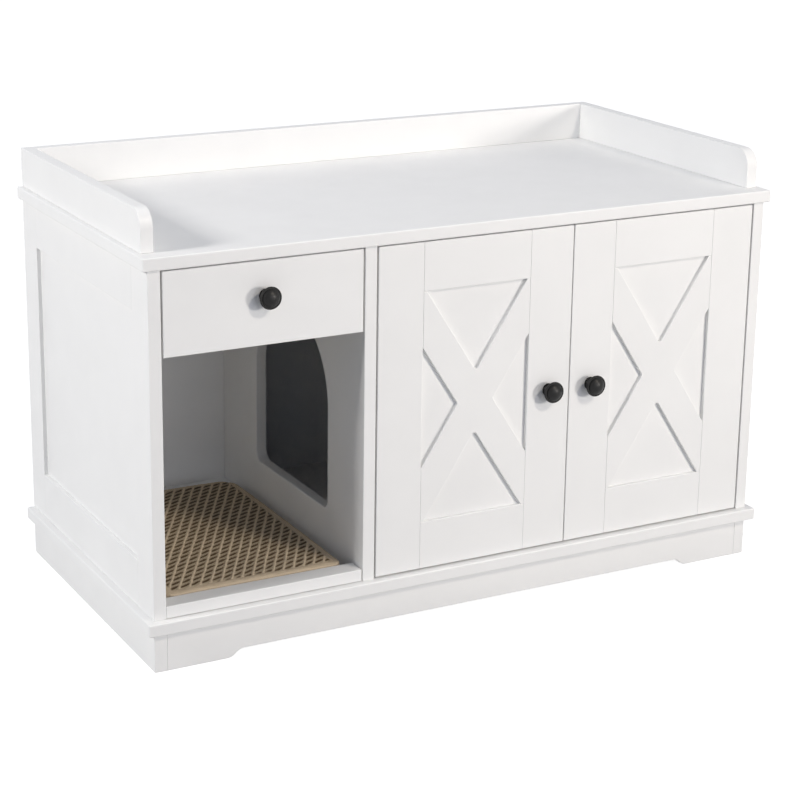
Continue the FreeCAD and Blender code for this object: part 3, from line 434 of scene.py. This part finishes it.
def make_mat():
    """A fine grid shaped to the mat's top, whose rim is drawn down to the floor and closed."""
    body = bmesh.new()
    bmesh.ops.create_grid(body, x_segments=round((mat_high.x - mat_low.x) / MAT_STEP),
                          y_segments=round((mat_high.y - mat_low.y) / MAT_STEP), size=0.5)
    strand = body.verts.layers.float.new("strand")
    crown = body.verts.layers.float.new("crown")
    top = mat_high.z - WEAVE_RELIEF
    for vertex in body.verts:
        spot = mat_point(vertex.co.x + 0.5, vertex.co.y + 0.5, MAT_EDGE_ROUND)
        rise, vertex[crown], vertex[strand] = mat_surface(spot)
        droop = CORNER_DROOP * (2 * abs(vertex.co.x)) ** DROOP_POWER * (2 * abs(vertex.co.y)) ** DROOP_POWER
        vertex.co = (*spot, top + rise - droop)

    # The rim goes over a quarter round and straight down, and each step starts where the last one ended
    rim = [edge for edge in body.edges if edge.is_boundary]
    middle = ((mat_low + mat_high) / 2).xy
    ring = {}
    for vertex in {corner for edge in rim for corner in edge.verts}:
        before, after = [edge.other_vert(vertex) for edge in vertex.link_edges if edge.is_boundary]
        outward = (after.co.xy - before.co.xy).orthogonal().normalized()
        outward *= math.copysign(1, outward.dot(vertex.co.xy - middle))
        ring[tuple(vertex.co)] = (vertex.co.xy.copy(), outward, vertex.co.z - top)
    steps = []
    for step in range(1, ROUND_STEPS + 1):
        turn = math.pi / 2 * step / ROUND_STEPS
        steps.append((MAT_EDGE_ROUND * math.sin(turn), MAT_EDGE_ROUND * (1 - math.cos(turn))))
    side_height = top - MAT_EDGE_ROUND - mat_low.z - MAT_LIFT
    for step in range(1, SIDE_STEPS + 1):
        steps.append((MAT_EDGE_ROUND, MAT_EDGE_ROUND + side_height * step / SIDE_STEPS))
    for reach, drop in steps:
        grown = bmesh.ops.extrude_edge_only(body, edges=rim)["geom"]
        rim = [item for item in grown if isinstance(item, bmesh.types.BMEdge) and item.is_boundary]
        moved = {}
        for vertex in {corner for edge in rim for corner in edge.verts}:
            start, outward, rise = ring[tuple(vertex.co)]
            groove = 0.5 + 0.5 * math.cos(2 * math.pi * (start.x - start.y + drop) / ROPE_TURN)
            spot = start + outward * (reach - groove * SIDE_GROOVE_DEPTH)
            vertex.co = (*spot, top + rise * max(1 - drop / MAT_EDGE_ROUND, 0) - drop)
            vertex[strand] = ROPE_LIGHTNESS
            vertex[crown] = 1 - SIDE_GROOVE_SHADE * groove
            moved[tuple(vertex.co)] = (start, outward, rise)
        ring = moved
    bmesh.ops.edgeloop_fill(body, edges=rim)
    bmesh.ops.recalc_face_normals(body, faces=body.faces)
    for face in body.faces:
        face.smooth = len(face.verts) == 4
    mesh = bpy.data.meshes.new("sisal_mat")
    body.to_mesh(mesh)
    body.free()
    return mesh


mat = bpy.data.objects.new("sisal_mat", make_mat())
scene.collection.objects.link(mat)
mat.data.materials.append(materials["sisal"])
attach(mat, "case")
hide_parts("sisal_cover")


# Surroundings: a grey floor that shows as white and keeps a soft shadow, and a white room
FLOOR_SIZE = 40
FLOOR_GLOW = 0.94
ROOM_LIGHT = 0.25
ROOM_TINT = "D0E0FF"


def shown_white(tree):
    """1 for a ray that shows the surroundings, straight, reflected or through glass, and 0 for lighting."""
    rays = add(tree, "ShaderNodeLightPath", {})
    seen = add(tree, "ShaderNodeMath", {0: rays.outputs["Is Camera Ray"], 1: rays.outputs["Is Glossy Ray"]},
               operation="MAXIMUM").outputs["Value"]
    return add(tree, "ShaderNodeMath", {0: seen, 1: rays.outputs["Is Transmission Ray"]},
               operation="MAXIMUM").outputs["Value"]


def floor_material():
    """Matt grey studio floor that glows up to white for the camera, so that only the shadow stays."""
    material, tree, place = new_material("studio_floor")
    clouds = add(tree, "ShaderNodeTexNoise", {"Vector": place, "Scale": 1 / (500 * MM)}).outputs["Fac"]
    tone = add(tree, "ShaderNodeMix", {0: clouds, 6: colour("9A9A9A"), 7: colour("A2A2A2")},
               data_type="RGBA").outputs[2]
    glow = add(tree, "ShaderNodeMath", {0: shown_white(tree), 1: FLOOR_GLOW},
               operation="MULTIPLY").outputs["Value"]
    shader = add(tree, "ShaderNodeBsdfPrincipled",
                 {"Base Color": tone, "Roughness": 0.9, "Emission Color": (1.0, 1.0, 1.0, 1.0),
                  "Emission Strength": glow})
    add(tree, "ShaderNodeOutputMaterial", {"Surface": shader.outputs["BSDF"]})
    return material


sheet = bmesh.new()
bmesh.ops.create_grid(sheet, x_segments=1, y_segments=1, size=FLOOR_SIZE / 2)
floor_mesh = bpy.data.meshes.new("floor")
sheet.to_mesh(floor_mesh)
sheet.free()
floor = bpy.data.objects.new("floor", floor_mesh)
scene.collection.objects.link(floor)
floor.data.materials.append(floor_material())

scene.world = bpy.data.worlds.new("white_room")
scene.world.use_nodes = True
room = scene.world.node_tree
room.nodes.clear()
lighting = add(room, "ShaderNodeBackground", {"Color": colour(ROOM_TINT), "Strength": ROOM_LIGHT})
white = add(room, "ShaderNodeBackground", {"Color": (1.0, 1.0, 1.0, 1.0), "Strength": 1.0})
choice = add(room, "ShaderNodeMixShader",
             {0: shown_white(room), 1: lighting.outputs["Background"], 2: white.outputs["Background"]})
add(room, "ShaderNodeOutputWorld", {"Surface": choice.outputs["Shader"]})


# Lamps: a low key and a weaker high one at the front right, a fill from the front, one far round on the
# left and one above the back
AIM = Vector((-0.1, 0.0, 0.3))


def lamp(name, bearing, height, distance, size, power, tint):
    """A square soft lamp, its bearing counted from the front towards the right, turned to the cabinet."""
    lamp_data = bpy.data.lights.new(name, "AREA")
    lamp_data.shape = "SQUARE"
    lamp_data.size = size
    lamp_data.energy = power
    lamp_data.color = colour(tint)[:3]
    fixture = bpy.data.objects.new(name, lamp_data)
    scene.collection.objects.link(fixture)
    turn, rise = math.radians(bearing), math.radians(height)
    away = Vector((math.sin(turn) * math.cos(rise), -math.cos(turn) * math.cos(rise), math.sin(rise)))
    fixture.location = AIM + away * distance
    fixture.rotation_mode = "QUATERNION"
    fixture.rotation_quaternion = (-away).to_track_quat("-Z", "Y")


# Bearing and height in degrees, distance and size in metres, power in watts, and the light's colour
lamp("key_lamp", 32, 11, 4.0, 0.5, 56, "FFF9F2")
lamp("high_lamp", 22, 38, 4.0, 0.4, 43, "FFF5E6")
lamp("front_lamp", 5, 12, 5.0, 1.5, 26, "F2F5FF")
lamp("left_lamp", -87, 29, 4.0, 0.8, 99, "FFFCF8")
lamp("top_lamp", 180, 75, 3.5, 2.0, 16, "FFFFFF")


# Camera: the photograph's view from the front left, slightly above the top
HEADING = math.radians(27.995)
TILT = math.radians(-15.936)
ROLL = math.radians(0.615)
CAMERA_PLACE = (-1.432073, -2.627122, 1.204369)
LENS = 93.6
SENSOR_WIDTH = 36
SHIFT_X = 0.03
SHIFT_Y = -0.08

camera = bpy.data.objects.new("camera", bpy.data.cameras.new("camera"))
scene.collection.objects.link(camera)
sight = Vector((math.sin(HEADING) * math.cos(TILT), math.cos(HEADING) * math.cos(TILT), math.sin(TILT)))
camera.location = CAMERA_PLACE
camera.rotation_mode = "QUATERNION"
camera.rotation_quaternion = sight.to_track_quat("-Z", "Y") @ Quaternion((0, 0, 1), ROLL)
camera.data.sensor_width = SENSOR_WIDTH
camera.data.lens = LENS
camera.data.shift_x = SHIFT_X
camera.data.shift_y = SHIFT_Y
scene.camera = camera
